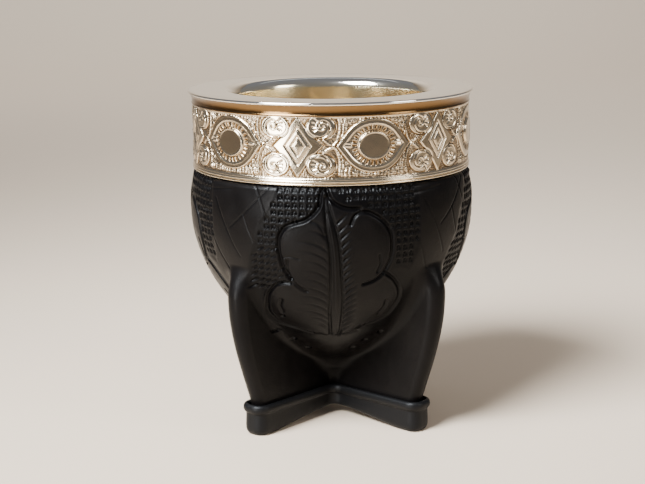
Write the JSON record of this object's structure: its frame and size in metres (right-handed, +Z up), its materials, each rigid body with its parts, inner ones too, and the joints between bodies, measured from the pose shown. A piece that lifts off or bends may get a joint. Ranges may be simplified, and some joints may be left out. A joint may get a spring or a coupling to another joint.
{
  "type": "mate gourd cup",
  "caption": "Empty mate cup: calabash gourd in a black tooled leather cover on diagonal fins and a cross-shaped sole, with a chiselled metal collar and flat rim.",
  "frame": {"origin": "on the surface the cup stands on, under the centre of its round mouth", "axes": "+Z up through the mouth; the fins point along the diagonals of X and Y"},
  "size_m": [0.086, 0.086, 0.101],
  "materials": {
    "rim_metal": "polished warm silver alloy",
    "band_metal": "chiselled warm silver alloy with a stippled ground",
    "gourd": "dry matt calabash",
    "cover_leather": "black, wet-formed, tooled, satin",
    "sole_leather": "black, dense, satin"
  },
  "bodies": {
    "root": {"rim_plate": "rim_metal", "collar_band": "band_metal", "gourd_shell": "gourd", "leather_body": "cover_leather", "sole_strip": "sole_leather"}
  },
  "joints": []
}
